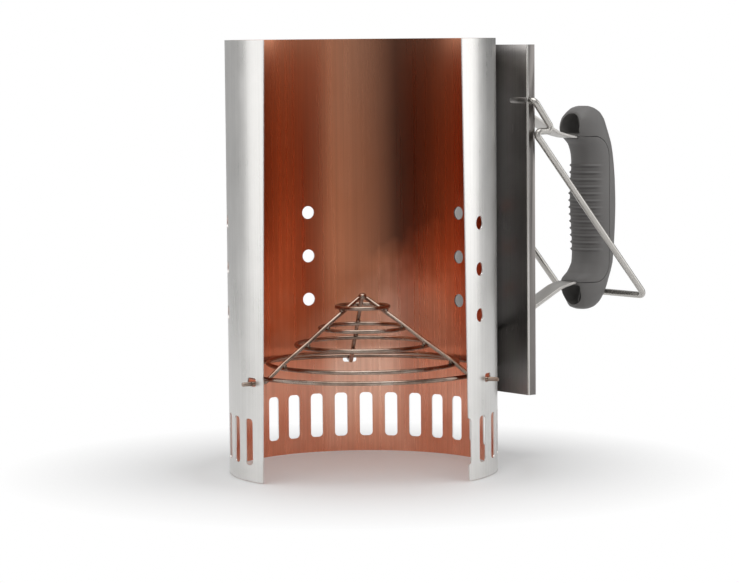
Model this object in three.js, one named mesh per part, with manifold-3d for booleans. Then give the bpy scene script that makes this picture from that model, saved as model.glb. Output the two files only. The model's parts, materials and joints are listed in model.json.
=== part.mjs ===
// Chimney charcoal starter: a cut-away steel cylinder with a cone-shaped wire grate, a heat
// shield, a two-part plastic grip on a steel strap, and a swinging wire bail.
//
// Millimetres, +Z up. Every piece is built around the cylinder's axis, with the handle in the
// XZ plane on the +X side. The last lines stand the whole starter on Z = 0, centred on X and Y.

import * as THREE from 'three';
import { mergeVertices } from 'three/addons/utils/BufferGeometryUtils.js';
import Module from 'manifold-3d';

const wasm = await Module();
wasm.setup();

// ---------------------------------------------------------------- driving dimensions

const GAP = 0.3; // clearance kept between touching pieces

const SHELL_RADIUS = 95.25; // outside of the cylinder
const SHELL_HEIGHT = 305;
const SHEET = 0.9; // thickness of the cylinder's sheet
const SHELL_FACETS = 72; // facets that the wall would have on a full turn

const WINDOW_FROM_HANDLE = -126.5; // angle from the handle to the middle of the cut-away
const WINDOW_HALF_TOP = 45.3; // half of the cut-away's angle at the rim
const WINDOW_HALF_BASE = 48.7; // half of the cut-away's angle at the base

const SLOT = { width: 9.4, height: 32.3, corner: 3, bottom: 11.3 };
const SLOT_GROUPS = [
  { first: -79.3, pitch: 11.9, count: 5 },
  { first: 175.5, pitch: -11.34, count: 18 },
];
const SEAM_ANGLE = -24.5; // middle of the lap seam
const SEAM_WIDTH = 9;

const HOLE_DIAMETER = 9.5;
const HOLE_HEIGHTS = [114, 146, 178];
const HOLE_ANGLES = [-69.3, 3.7, 76.7, 149.8];

const GRATE_WIRE = 3;
const GRATE_RINGS = [
  { radius: 18.3, z: 116.2 },
  { radius: 30.2, z: 101.1 },
  { radius: 47.2, z: 89.3 },
  { radius: 67.5, z: 76.6 },
  { radius: 88.5, z: 71.6 },
];
const SPOKE_ANGLES = [-62, 58, 178];
const SPOKE_LINE = [[2.6, 122.6], [30.2, 105], [47.2, 93.4], [67.5, 80.7], [84, 68.3], [103.3, 68.3]];
const FOOT_SLOT = { width: 10, height: 6, rise: 1.2 }; // rise: of its middle above the foot

const SHIELD = { radius: 118.4, width: 86, bottom: 46.9, top: 300, flange: 6.4, sheet: 0.9, bend: 1 };
const BEAD = { radius: 3.65, length: 21 }; // half-round ridges of the shield over the bail's ends

const BRACKET = { width: 12, sheet: 1.2, height: 26, foot: 13 };
const UPPER_BRACKET_Z = 270;
const LOWER_BRACKET_Z = 64;
const STRAP_RIVET_HEIGHTS = [69, 79, 281, 290];
const RIVET = { shank: 4, head: 8, rise: 1.7 };

const STRAP = { width: 16, thickness: 2.4 };
const GRIP_CORE_X = 224.2; // the strap's middle inside the grip
const STRAP_UPPER_Z = 231; // where the strap enters the grip
const STRAP_LOWER_Z = 122;
const STRAP_FOOT_TOP_Z = 88.3; // where the lower foot bends away from the shield
const STRAP_FOOT_BOTTOM_Z = 265.3; // where the upper foot does
const STRAP_LOWER_SLOPE = [[184, 119.9], [196, STRAP_LOWER_Z]];
const STRAP_UPPER_SLOPE = [[194, STRAP_UPPER_Z], [181, 234]];
const STRAP_BENDS = [6, 36, 36, 30, 26, 36, 36, 6];

const BAIL_WIRE = 4.8;
const BAIL_WIDTH = 94.8;
const BAIL_BORE = 5.1;
const PIVOT = { x: 121.3, z: 260, inner: 24 }; // inner: distance of each wire end from Y = 0
const BAIL_ELBOW = { x: 138.8, z: 237.7 };
const BAIL_HEEL = { x: 120.9, z: 237.7 };
const BAIL_BAR = { x: 229.8, z: 112.9 };
const BAIL_BENDS = [3.4, 2.7, 2.7, 6, 6, 2.7, 2.7, 3.4];

// The grip's outline in the handle plane: height, finger side and palm side.
const GRIP_STATIONS = [
  [101.3, 203.5, 212],
  [103, 201.5, 217],
  [107, 199.5, 221.5],
  [114, 195.4, 226.4],
  [119, 194, 229.4],
  [124, 194.5, 231.4],
  [129, 200.5, 233],
  [136, 205, 234.8],
  [150, 205.4, 236.4],
  [166, 204.2, 237.7],
  [181, 203.2, 238.3],
  [198, 203.8, 237.6],
  [209, 205, 236.4],
  [218, 204.4, 235.1],
  [225, 201.6, 233.8],
  [230, 196.2, 232.4],
  [237, 192.4, 229.8],
  [244, 194.8, 226.6],
  [249, 199.6, 222.8],
  [252, 204, 218],
  [253.5, 207.5, 214.5],
];
const GRIP_WIDTH = 30;
const GRIP_END_WIDTHS = [0.5, 0.72, 0.88, 0.96, 1]; // share of the width, from either end inwards
const GRIP_SIDES = 20;
const HOOD_FACE = { nearX: 196.6, farX: 201, far: 20 }; // the open face leans out over this height
const HOOD_POCKET = { width: 20, height: 14, offset: 2.2, depth: 214 };
const SCREW = { shank: 3.6, head: 7, headHeight: 2.6, seatX: 231.5, tipX: 211 };
const SCREW_HEIGHTS = [160, 197];

// ---------------------------------------------------------------- materials

const satinSteel = { color: 0xc9c7c2, roughness: 0.32, metalness: 1 };
const shieldSteel = { color: 0x85817b, roughness: 0.38, metalness: 1 };
const wireSteel = { color: 0xb9b5ae, roughness: 0.28, metalness: 1 };
const grateSteel = { color: 0x8c7a6c, roughness: 0.4, metalness: 1 };
const strapSteel = { color: 0xa8a49c, roughness: 0.36, metalness: 1 };
const fastenerSteel = { color: 0xb4b1aa, roughness: 0.35, metalness: 1 };
const gripPlastic = { color: 0x55524f, roughness: 0.55, metalness: 0 };

// ---------------------------------------------------------------- helpers

const radians = THREE.MathUtils.degToRad;

function toSolid(geometry) {
  const plain = geometry.clone();
  plain.deleteAttribute('normal');
  plain.deleteAttribute('uv');
  const merged = mergeVertices(plain, 1e-4);
  const triVerts = new Uint32Array(merged.index.array);
  const vertProperties = new Float32Array(merged.attributes.position.array);
  return new wasm.Manifold(new wasm.Mesh({ numProp: 3, vertProperties, triVerts }));
}

function toGeometry(solid) {
  const { vertProperties, triVerts, numProp } = solid.getMesh();
  const positions = new Float32Array((vertProperties.length / numProp) * 3);
  for (let i = 0; i < positions.length / 3; i += 1) {
    positions.set(vertProperties.subarray(i * numProp, i * numProp + 3), i * 3);
  }
  const geometry = new THREE.BufferGeometry();
  geometry.setAttribute('position', new THREE.BufferAttribute(positions, 3));
  geometry.setIndex(new THREE.BufferAttribute(new Uint32Array(triVerts), 1));
  geometry.computeVertexNormals();
  return geometry;
}

function subtractAll(geometry, cutters) {
  let solid = toSolid(geometry);
  for (const cutter of cutters) {
    solid = solid.subtract(toSolid(cutter));
  }
  return toGeometry(solid);
}

function addAll(geometry, extras) {
  let solid = toSolid(geometry);
  for (const extra of extras) {
    solid = solid.add(toSolid(extra));
  }
  return toGeometry(solid);
}

function addMesh(group, name, geometry, material) {
  const mesh = new THREE.Mesh(geometry, new THREE.MeshStandardMaterial(material));
  mesh.name = name;
  group.add(mesh);
  return mesh;
}

function point2(x, y) {
  return new THREE.Vector2(x, y);
}

// Turns a corner list into a path whose inner corners are arcs, one bend radius for each.
function roundedPath(corners, bends, arcSteps) {
  const path = [corners[0].clone()];
  for (let i = 1; i < corners.length - 1; i += 1) {
    const corner = corners[i];
    const back = corners[i - 1].clone().sub(corner);
    const ahead = corners[i + 1].clone().sub(corner);
    const halfAngle = back.angleTo(ahead) / 2;
    const wanted = bends[i - 1] / Math.tan(halfAngle);
    const reach = Math.min(wanted, back.length() * 0.49, ahead.length() * 0.49);
    const start = corner.clone().add(back.clone().setLength(reach));
    const end = corner.clone().add(ahead.clone().setLength(reach));
    const inward = back.clone().normalize().add(ahead.clone().normalize()).normalize();
    const centre = corner.clone().add(inward.multiplyScalar(reach / Math.cos(halfAngle)));
    const turn = Math.PI - 2 * halfAngle;
    for (let step = 0; step <= arcSteps; step += 1) {
      const along = (step / arcSteps) * turn;
      const arm = start.clone().sub(centre).multiplyScalar(Math.sin(turn - along));
      arm.add(end.clone().sub(centre).multiplyScalar(Math.sin(along)));
      path.push(centre.clone().add(arm.setLength(reach * Math.tan(halfAngle))));
    }
  }
  path.push(corners.at(-1).clone());
  return path;
}

// A curve that passes through its stations one step at a time, so that an extrusion puts a
// section exactly at each station.
class StationPath extends THREE.Curve {
  constructor(stations) {
    super();
    this.stations = stations;
  }

  getPointAt(u) {
    return this.stations[Math.round(u * (this.stations.length - 1))].clone();
  }

  getTangentAt(u) {
    const here = Math.round(u * (this.stations.length - 1));
    const before = this.stations[Math.max(here - 1, 0)];
    const mid = this.stations[here];
    const after = this.stations[Math.min(here + 1, this.stations.length - 1)];
    const tangent = new THREE.Vector3();
    if (here > 0) tangent.add(mid.clone().sub(before).normalize());
    if (here < this.stations.length - 1) tangent.add(after.clone().sub(mid).normalize());
    return tangent.normalize();
  }
}

function wireAlong(stations, diameter, sides) {
  const corners = [];
  for (let i = 0; i < sides; i += 1) {
    const angle = (i / sides) * 2 * Math.PI;
    corners.push(point2(0.5 * diameter * Math.cos(angle), 0.5 * diameter * Math.sin(angle)));
  }
  return new THREE.ExtrudeGeometry(new THREE.Shape(corners), {
    steps: stations.length - 1,
    bevelEnabled: false,
    curveSegments: 1,
    extrudePath: new StationPath(stations),
  });
}

// The outline of a strip of even thickness that follows a 2-D centre line.
function stripShape(centreLine, thickness) {
  const left = [];
  const right = [];
  centreLine.forEach((here, i) => {
    const before = centreLine[Math.max(i - 1, 0)];
    const after = centreLine[Math.min(i + 1, centreLine.length - 1)];
    const along = after.clone().sub(before).normalize();
    const across = point2(-along.y, along.x).multiplyScalar(thickness / 2);
    left.push(here.clone().add(across));
    right.unshift(here.clone().sub(across));
  });
  return new THREE.Shape([...left, ...right]);
}

// Extrudes an outline drawn in the XZ plane evenly to both sides of Y = 0.
function extrudeAcross(shape, width) {
  const geometry = new THREE.ExtrudeGeometry(shape, {
    depth: width,
    bevelEnabled: false,
    curveSegments: 12,
  });
  geometry.rotateX(Math.PI / 2);
  geometry.translate(0, width / 2, 0);
  return geometry;
}

// Extrudes an outline drawn in the YZ plane from one X to another.
function extrudeOutward(shape, fromX, toX, curveSegments) {
  const geometry = new THREE.ExtrudeGeometry(shape, {
    depth: toX - fromX,
    bevelEnabled: false,
    curveSegments,
  });
  const axisY = new THREE.Vector3(0, 1, 0);
  const axisZ = new THREE.Vector3(0, 0, 1);
  const axisX = new THREE.Vector3(1, 0, 0);
  geometry.applyMatrix4(new THREE.Matrix4().makeBasis(axisY, axisZ, axisX));
  geometry.translate(fromX, 0, 0);
  return geometry;
}

function roundedRectangle(width, height, corner, centreHeight) {
  const w = width / 2;
  const low = centreHeight - height / 2;
  const high = centreHeight + height / 2;
  const shape = new THREE.Shape();
  shape.moveTo(-w + corner, low);
  shape.lineTo(w - corner, low);
  shape.absarc(w - corner, low + corner, corner, -Math.PI / 2, 0);
  shape.lineTo(w, high - corner);
  shape.absarc(w - corner, high - corner, corner, 0, Math.PI / 2);
  shape.lineTo(-w + corner, high);
  shape.absarc(-w + corner, high - corner, corner, Math.PI / 2, Math.PI);
  shape.lineTo(-w, low + corner);
  shape.absarc(-w + corner, low + corner, corner, Math.PI, 1.5 * Math.PI);
  return shape;
}

// A cutter that passes through the cylinder's wall at an angle from the handle.
function wallCutter(shape, angle, curveSegments) {
  const cutter = extrudeOutward(shape, SHELL_RADIUS - 8, SHELL_RADIUS + 8, curveSegments);
  cutter.rotateZ(radians(angle));
  return cutter;
}

function circleShape(radius, centreHeight) {
  const shape = new THREE.Shape();
  shape.absarc(0, centreHeight, radius, 0, 2 * Math.PI);
  return shape;
}

// ---------------------------------------------------------------- cylinder

// A wall panel bent round the cylinder's axis, whose two side edges may lean.
function bentPanel(innerRadius, outerRadius, bottom, top, anglesAt, facets) {
  const panel = new THREE.BoxGeometry(1, 1, 1, facets, 1, 1);
  const position = panel.attributes.position;
  for (let i = 0; i < position.count; i += 1) {
    const across = 0.5 + position.getX(i);
    const radius = position.getY(i) > 0 ? innerRadius : outerRadius;
    const height = 0.5 + position.getZ(i);
    const [from, to] = anglesAt(height);
    const angle = radians(from + (to - from) * across);
    const z = bottom + (top - bottom) * height;
    position.setXYZ(i, radius * Math.cos(angle), radius * Math.sin(angle), z);
  }
  return panel;
}

function windowAngles(height) {
  const half = WINDOW_HALF_BASE + (WINDOW_HALF_TOP - WINDOW_HALF_BASE) * height;
  return [WINDOW_FROM_HANDLE + half, WINDOW_FROM_HANDLE + 360 - half];
}

function bodyShell() {
  const facets = Math.round((SHELL_FACETS * (360 - 2 * WINDOW_HALF_TOP)) / 360);
  const wall = bentPanel(SHELL_RADIUS - SHEET, SHELL_RADIUS, 0, SHELL_HEIGHT, windowAngles, facets);
  const seamHalf = THREE.MathUtils.radToDeg(SEAM_WIDTH / 2 / SHELL_RADIUS);
  const lap = bentPanel(
    SHELL_RADIUS - SHEET / 2,
    SHELL_RADIUS + SHEET,
    0,
    SHELL_HEIGHT,
    () => [SEAM_ANGLE - seamHalf, SEAM_ANGLE + seamHalf],
    4,
  );
  const cutters = [];
  const slot = roundedRectangle(SLOT.width, SLOT.height, SLOT.corner, SLOT.bottom + SLOT.height / 2);
  for (const group of SLOT_GROUPS) {
    for (let i = 0; i < group.count; i += 1) {
      cutters.push(wallCutter(slot, group.first + i * group.pitch, 1));
    }
  }
  for (const angle of HOLE_ANGLES) {
    for (const height of HOLE_HEIGHTS) {
      cutters.push(wallCutter(circleShape(HOLE_DIAMETER / 2, height), angle, 7));
    }
  }
  const footZ = SPOKE_LINE.at(-1)[1] + FOOT_SLOT.rise;
  const footSlot = roundedRectangle(FOOT_SLOT.width, FOOT_SLOT.height, 1.5, footZ);
  for (const angle of SPOKE_ANGLES) {
    cutters.push(wallCutter(footSlot, angle, 1));
  }
  return subtractAll(addAll(wall, [lap]), cutters);
}

// ---------------------------------------------------------------- cone grate

function addGrate(group) {
  GRATE_RINGS.forEach((ring, i) => {
    const segments = Math.round(20 + ring.radius / 3);
    const geometry = new THREE.TorusGeometry(ring.radius, GRATE_WIRE / 2, 8, segments);
    const mesh = addMesh(group, `grate_ring_${i + 1}`, geometry, grateSteel);
    mesh.position.z = ring.z;
  });
  const line = SPOKE_LINE.map(([x, z]) => new THREE.Vector3(x, 0, z));
  const stations = roundedPath(line, [7, 7, 7, 7], 3);
  SPOKE_ANGLES.forEach((angle, i) => {
    const spoke = wireAlong(stations, GRATE_WIRE, 8);
    const mesh = addMesh(group, `grate_spoke_${i + 1}`, spoke, grateSteel);
    mesh.rotation.z = radians(angle);
  });
}

// ---------------------------------------------------------------- heat shield and brackets

function shieldSection() {
  const half = SHIELD.width / 2 - SHIELD.sheet / 2;
  const mid = SHIELD.radius + SHIELD.sheet / 2;
  const corners = [
    new THREE.Vector3(mid + SHIELD.flange, -half, 0),
    new THREE.Vector3(mid, -half, 0),
    new THREE.Vector3(mid, half, 0),
    new THREE.Vector3(mid + SHIELD.flange, half, 0),
  ];
  return roundedPath(corners, [SHIELD.bend, SHIELD.bend], 3).map((p) => point2(p.x, p.y));
}

function heatShield() {
  const height = SHIELD.top - SHIELD.bottom;
  const geometry = new THREE.ExtrudeGeometry(stripShape(shieldSection(), SHIELD.sheet), {
    depth: height,
    bevelEnabled: false,
  });
  geometry.translate(0, 0, SHIELD.bottom);
  const holes = STRAP_RIVET_HEIGHTS.map((z) => rivetHole(z));
  return subtractAll(addAll(geometry, bailBeads()), [...holes, ...bailBores()]);
}

// The ridges pressed out of the shield's face, where the bail's wire ends lie behind it.
function bailBeads() {
  const back = SHIELD.radius + SHIELD.sheet;
  const half = Math.acos((PIVOT.x - back) / BEAD.radius);
  const shape = new THREE.Shape();
  shape.absarc(PIVOT.x, PIVOT.z, BEAD.radius, Math.PI - half, Math.PI + half);
  return [-1, 1].map((side) => {
    const bead = extrudeAcross(shape, BEAD.length);
    return bead.translate(0, (side * (SHIELD.width - BEAD.length)) / 2, 0);
  });
}

// The bail's bearing at each side: through the folded edge and along the back of the bead.
function bailBores() {
  const shape = new THREE.Shape();
  shape.absarc(PIVOT.x, PIVOT.z, BAIL_BORE / 2, 0, 2 * Math.PI);
  const length = SHIELD.width / 2 - PIVOT.inner + 2;
  return [-1, 1].map((side) => {
    const bore = extrudeAcross(shape, length);
    return bore.translate(0, side * (PIVOT.inner - 1 + length / 2), 0);
  });
}

function rivetHole(z) {
  const hole = circleShape(RIVET.shank / 2 + GAP, z);
  return extrudeOutward(hole, SHIELD.radius - 6, SHIELD.radius + 8, 5);
}

// The hat-shaped section of a bracket: feet that follow the cylinder, two sides and a web.
function bracketSection() {
  const footRadius = SHELL_RADIUS + GAP + BRACKET.sheet / 2;
  const half = (BRACKET.width - BRACKET.sheet) / 2;
  const webX = SHIELD.radius - GAP - BRACKET.sheet / 2;
  const innerAngle = Math.asin(half / footRadius);
  const outerAngle = innerAngle + BRACKET.foot / footRadius;
  const foot = [];
  for (let step = 0; step <= 4; step += 1) {
    const angle = outerAngle + ((innerAngle - outerAngle) * step) / 4;
    foot.push(point2(footRadius * Math.cos(angle), -footRadius * Math.sin(angle)));
  }
  const mirrored = foot.map((p) => point2(p.x, -p.y)).reverse();
  return [...foot, point2(webX, -half), point2(webX, half), ...mirrored];
}

// Offsets each corner along its bisector so that sharp folds keep their thickness.
function foldedStripShape(centreLine, thickness) {
  const left = [];
  const right = [];
  centreLine.forEach((here, i) => {
    const before = centreLine[i - 1];
    const after = centreLine[i + 1];
    const inDirection = here.clone().sub(before ?? after).normalize();
    if (!before) inDirection.negate();
    const outDirection = after ? after.clone().sub(here).normalize() : inDirection.clone();
    const bisector = inDirection.clone().add(outDirection).normalize();
    const across = point2(-bisector.y, bisector.x);
    const stretch = 1 / Math.max(across.dot(point2(-inDirection.y, inDirection.x)), 0.4);
    across.multiplyScalar((thickness / 2) * stretch);
    left.push(here.clone().add(across));
    right.unshift(here.clone().sub(across));
  });
  return new THREE.Shape([...left, ...right]);
}

// A hat-shaped plate that holds the shield away from the cylinder. Its feet are spot-welded on.
function standOffBracket(bottom) {
  const geometry = new THREE.ExtrudeGeometry(foldedStripShape(bracketSection(), BRACKET.sheet), {
    depth: BRACKET.height,
    bevelEnabled: false,
  });
  geometry.translate(0, 0, bottom);
  const holes = STRAP_RIVET_HEIGHTS.map((z) => rivetHole(z));
  return subtractAll(geometry, holes);
}

// A rivet along +X: a domed head at the far end, and a flat clenched head behind X = 0.
function rivet(clampLength) {
  const shank = RIVET.shank / 2;
  const head = RIVET.head / 2;
  const profile = [
    point2(0, -RIVET.rise * 0.8),
    point2(head * 0.75, -RIVET.rise * 0.8),
    point2(head * 0.85, 0),
    point2(shank, 0),
    point2(shank, clampLength),
    point2(head, clampLength),
    point2(head * 0.9, clampLength + RIVET.rise * 0.55),
    point2(head * 0.55, clampLength + RIVET.rise * 0.92),
    point2(0, clampLength + RIVET.rise),
  ];
  const geometry = new THREE.LatheGeometry(profile, 12);
  geometry.rotateZ(-Math.PI / 2);
  return geometry;
}

function addRivets(group) {
  const clampLength = BRACKET.sheet + SHIELD.sheet + STRAP.thickness + 4 * GAP;
  STRAP_RIVET_HEIGHTS.forEach((z, i) => {
    const mesh = addMesh(group, `strap_rivet_${i + 1}`, rivet(clampLength), fastenerSteel);
    mesh.position.set(SHIELD.radius - BRACKET.sheet - 2 * GAP, 0, z);
  });
}

// ---------------------------------------------------------------- handle strap and grip

function strapLine() {
  const footX = SHIELD.radius + SHIELD.sheet + GAP + STRAP.thickness / 2;
  const corners = [
    [footX, LOWER_BRACKET_Z + 1],
    [footX, STRAP_FOOT_TOP_Z],
    ...STRAP_LOWER_SLOPE,
    [GRIP_CORE_X, STRAP_LOWER_Z],
    [GRIP_CORE_X, STRAP_UPPER_Z],
    ...STRAP_UPPER_SLOPE,
    [footX, STRAP_FOOT_BOTTOM_Z],
    [footX, UPPER_BRACKET_Z + BRACKET.height - 1],
  ];
  const path = corners.map(([x, z]) => new THREE.Vector3(x, z, 0));
  return roundedPath(path, STRAP_BENDS, 4).map((p) => point2(p.x, p.y));
}

function handleStrap() {
  const holes = STRAP_RIVET_HEIGHTS.map((z) => rivetHole(z));
  const strip = extrudeAcross(stripShape(strapLine(), STRAP.thickness), STRAP.width);
  return subtractAll(strip, [...holes, ...shankHoles()]);
}

function screwHoles(radius, fromX, toX) {
  return SCREW_HEIGHTS.map((z) => extrudeOutward(circleShape(radius, z), fromX, toX, 10));
}

function shankHoles() {
  return screwHoles(SCREW.shank / 2 + GAP, SCREW.tipX - GAP, SCREW.seatX + 8);
}

// Makes an oval a little squarer when it is applied to its sine and cosine.
function squarer(value) {
  return Math.sign(value) * Math.abs(value) ** 0.85;
}

// The grip's full body: rounded sections stacked from the lower end to the upper end.
function gripBody() {
  const sides = GRIP_SIDES;
  const last = GRIP_STATIONS.length - 1;
  const vertices = [];
  const triangles = [];
  GRIP_STATIONS.forEach(([z, inner, outer], row) => {
    const centre = (inner + outer) / 2;
    const depth = (outer - inner) / 2;
    const fromEnd = Math.min(row, last - row, GRIP_END_WIDTHS.length - 1);
    const width = (GRIP_WIDTH / 2) * GRIP_END_WIDTHS[fromEnd];
    for (let i = 0; i < sides; i += 1) {
      const angle = (i / sides) * 2 * Math.PI;
      vertices.push(centre + depth * squarer(Math.cos(angle)), width * squarer(Math.sin(angle)), z);
    }
  });
  for (let row = 0; row < last; row += 1) {
    for (let i = 0; i < sides; i += 1) {
      const a = row * sides + i;
      const b = row * sides + ((i + 1) % sides);
      triangles.push(a, b, b + sides, a, b + sides, a + sides);
    }
  }
  for (let i = 1; i < sides - 1; i += 1) {
    triangles.push(0, i + 1, i);
    triangles.push(last * sides, last * sides + i, last * sides + i + 1);
  }
  const geometry = new THREE.BufferGeometry();
  geometry.setAttribute('position', new THREE.BufferAttribute(new Float32Array(vertices), 3));
  geometry.setIndex(triangles);
  return geometry;
}

// Everything on the finger side of the parting line, grown or shrunk by a margin.
function fingerSide(margin) {
  const inside = strapLine().filter((p) => p.x > 190);
  const middle = point2(GRIP_CORE_X - 30, (STRAP_LOWER_Z + STRAP_UPPER_Z) / 2);
  const moved = inside.map((p, i) => {
    const before = inside[Math.max(i - 1, 0)];
    const after = inside[Math.min(i + 1, inside.length - 1)];
    const along = after.clone().sub(before).normalize();
    const outward = point2(along.y, -along.x);
    if (outward.dot(p.clone().sub(middle)) < 0) outward.negate();
    return p.clone().add(outward.multiplyScalar(margin));
  });
  const shape = new THREE.Shape([point2(170, moved[0].y), ...moved, point2(170, moved.at(-1).y)]);
  return extrudeAcross(shape, 2 * GRIP_WIDTH);
}

function strapChannel() {
  return extrudeAcross(stripShape(strapLine(), STRAP.thickness + 2 * GAP), STRAP.width + 2 * GAP);
}

// The hollow in each hood: flat along the strap and arched on the far side.
function hoodPockets() {
  const { width, height, offset, depth } = HOOD_POCKET;
  return [[STRAP_UPPER_Z, 1], [STRAP_LOWER_Z, -1]].map(([strapZ, side]) => {
    const flat = strapZ + side * offset;
    const shoulder = flat + side * height * 0.35;
    const shape = new THREE.Shape();
    shape.moveTo(-width / 2, flat);
    shape.lineTo(width / 2, flat);
    shape.lineTo(width / 2, shoulder);
    shape.absellipse(0, shoulder, width / 2, height * 0.65, 0, side * Math.PI, side < 0);
    return extrudeOutward(shape, 180, depth, 8);
  });
}

// Everything in front of the hoods' open faces.
function hoodFronts() {
  const { nearX, farX, far } = HOOD_FACE;
  return [[STRAP_UPPER_Z, 1], [STRAP_LOWER_Z, -1]].map(([strapZ, side]) => {
    const edge = strapZ + (side * STRAP.thickness) / 2;
    const corners = [[170, edge], [nearX, edge], [farX, edge + side * far], [170, edge + side * far]];
    return extrudeAcross(new THREE.Shape(corners.map(([x, z]) => point2(x, z))), 2 * GRIP_WIDTH);
  });
}

function gripFingerHalf() {
  const half = toSolid(gripBody()).intersect(toSolid(fingerSide(-GAP / 2)));
  return subtractAll(toGeometry(half), [strapChannel(), ...shankHoles()]);
}

function gripPalmHalf() {
  const half = toSolid(gripBody()).subtract(toSolid(fingerSide(GAP / 2)));
  const headHoles = screwHoles(SCREW.head / 2 + GAP, SCREW.seatX - GAP, SCREW.seatX + 12);
  const hollows = [strapChannel(), ...hoodFronts(), ...hoodPockets()];
  return subtractAll(toGeometry(half), [...hollows, ...shankHoles(), ...headHoles]);
}

// A pan-head screw along X, with its head at the palm side.
function gripScrew() {
  const top = SCREW.seatX + SCREW.headHeight;
  const profile = [
    point2(0, SCREW.tipX),
    point2(SCREW.shank / 2, SCREW.tipX + 0.4),
    point2(SCREW.shank / 2, SCREW.seatX),
    point2(SCREW.head / 2, SCREW.seatX),
    point2(SCREW.head / 2, top - 1),
    point2(SCREW.head / 2 - 0.9, top),
    point2(0, top),
  ];
  const geometry = new THREE.LatheGeometry(profile, 12);
  geometry.rotateZ(-Math.PI / 2);
  return geometry;
}

function addGrip(group) {
  addMesh(group, 'grip_finger_half', gripFingerHalf(), gripPlastic);
  addMesh(group, 'grip_palm_half', gripPalmHalf(), gripPlastic);
  SCREW_HEIGHTS.forEach((z, i) => {
    const mesh = addMesh(group, `grip_screw_${i + 1}`, gripScrew(), fastenerSteel);
    mesh.position.z = z;
  });
}

// ---------------------------------------------------------------- bail

function bailHandle() {
  const half = BAIL_WIDTH / 2;
  const corners = [
    new THREE.Vector3(PIVOT.x, PIVOT.inner, PIVOT.z),
    new THREE.Vector3(PIVOT.x, half, PIVOT.z),
    new THREE.Vector3(BAIL_ELBOW.x, half, BAIL_ELBOW.z),
    new THREE.Vector3(BAIL_HEEL.x, half, BAIL_HEEL.z),
    new THREE.Vector3(BAIL_BAR.x, half, BAIL_BAR.z),
  ];
  const otherSide = corners.map((p) => new THREE.Vector3(p.x, -p.y, p.z)).reverse();
  const stations = roundedPath([...corners, ...otherSide], BAIL_BENDS, 4);
  return wireAlong(stations, BAIL_WIRE, 10);
}

// ---------------------------------------------------------------- assembly

const starter = new THREE.Group();
addMesh(starter, 'body_shell', bodyShell(), satinSteel);
addGrate(starter);
addMesh(starter, 'heat_shield', heatShield(), shieldSteel);
addMesh(starter, 'upper_bracket', standOffBracket(UPPER_BRACKET_Z), strapSteel);
addMesh(starter, 'lower_bracket', standOffBracket(LOWER_BRACKET_Z), strapSteel);
addRivets(starter);
addMesh(starter, 'handle_strap', handleStrap(), strapSteel);
addGrip(starter);
addMesh(starter, 'bail_handle', bailHandle(), wireSteel);

// Stand the starter on Z = 0 with its box centred on X and Y.
const box = new THREE.Box3().setFromObject(starter, true);
starter.position.set(-(box.min.x + box.max.x) / 2, -(box.min.y + box.max.y) / 2, -box.min.z);

export default starter;
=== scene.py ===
import json
import math
import random

import bmesh
import bpy
from mathutils import Matrix, Vector


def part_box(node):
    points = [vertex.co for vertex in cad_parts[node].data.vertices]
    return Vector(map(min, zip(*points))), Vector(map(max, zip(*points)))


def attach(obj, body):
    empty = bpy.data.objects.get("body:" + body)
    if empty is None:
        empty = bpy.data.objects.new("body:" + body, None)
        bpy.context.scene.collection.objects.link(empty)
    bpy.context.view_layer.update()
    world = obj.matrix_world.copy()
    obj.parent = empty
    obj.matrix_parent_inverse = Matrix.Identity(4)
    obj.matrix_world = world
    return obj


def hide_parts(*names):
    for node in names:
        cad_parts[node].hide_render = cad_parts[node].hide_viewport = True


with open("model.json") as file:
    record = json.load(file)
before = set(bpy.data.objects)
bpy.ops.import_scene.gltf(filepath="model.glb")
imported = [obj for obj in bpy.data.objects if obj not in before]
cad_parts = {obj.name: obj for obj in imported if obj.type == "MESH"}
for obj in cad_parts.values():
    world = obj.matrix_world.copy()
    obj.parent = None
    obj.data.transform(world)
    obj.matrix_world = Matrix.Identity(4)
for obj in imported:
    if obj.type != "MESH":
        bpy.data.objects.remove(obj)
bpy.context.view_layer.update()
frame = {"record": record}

# Looks of the cut-away chimney charcoal starter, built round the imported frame.
# Metres. Pieces are drawn round the cylinder's axis, with the handle in the XZ plane on the
# +X side, and every object's origin is put on that axis at the base.

MM = 0.001

# ---------------------------------------------------------------- driving sizes

shell_low, shell_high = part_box("body_shell")
SHELL_RADIUS = (shell_high.x - shell_low.x) / 2
SHELL_HEIGHT = shell_high.z
AXIS = Vector(((shell_high.x + shell_low.x) / 2, shell_high.y - SHELL_RADIUS, 0.0))
SHEET = 0.9 * MM

WINDOW_MIDDLE = math.radians(-126.5)
WINDOW_HALF_TOP = math.radians(45.3)
WINDOW_HALF_BASE = math.radians(48.7)

SLOT_WIDTH = 9.4 * MM
SLOT_HEIGHT = 32.3 * MM
SLOT_CORNER = 3 * MM
SLOT_BOTTOM = 11.3 * MM
SLOT_GROUPS = [(-79.3, 11.9, 5), (175.5, -11.34, 18)]  # first angle, pitch (degrees) and count
SEAM_ANGLE = math.radians(-24.5)
SEAM_WIDTH = 9 * MM
HOLE_RADIUS = 4.75 * MM
HOLE_HEIGHTS = [114 * MM, 146 * MM, 178 * MM]
HOLE_ANGLES = [-69.3, 3.7, 76.7, 149.8]  # degrees

GRATE_WIRE = 1.5 * MM  # radius
SPOKE_ANGLES = [math.radians(a) for a in (-62, 58, 178)]
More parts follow.
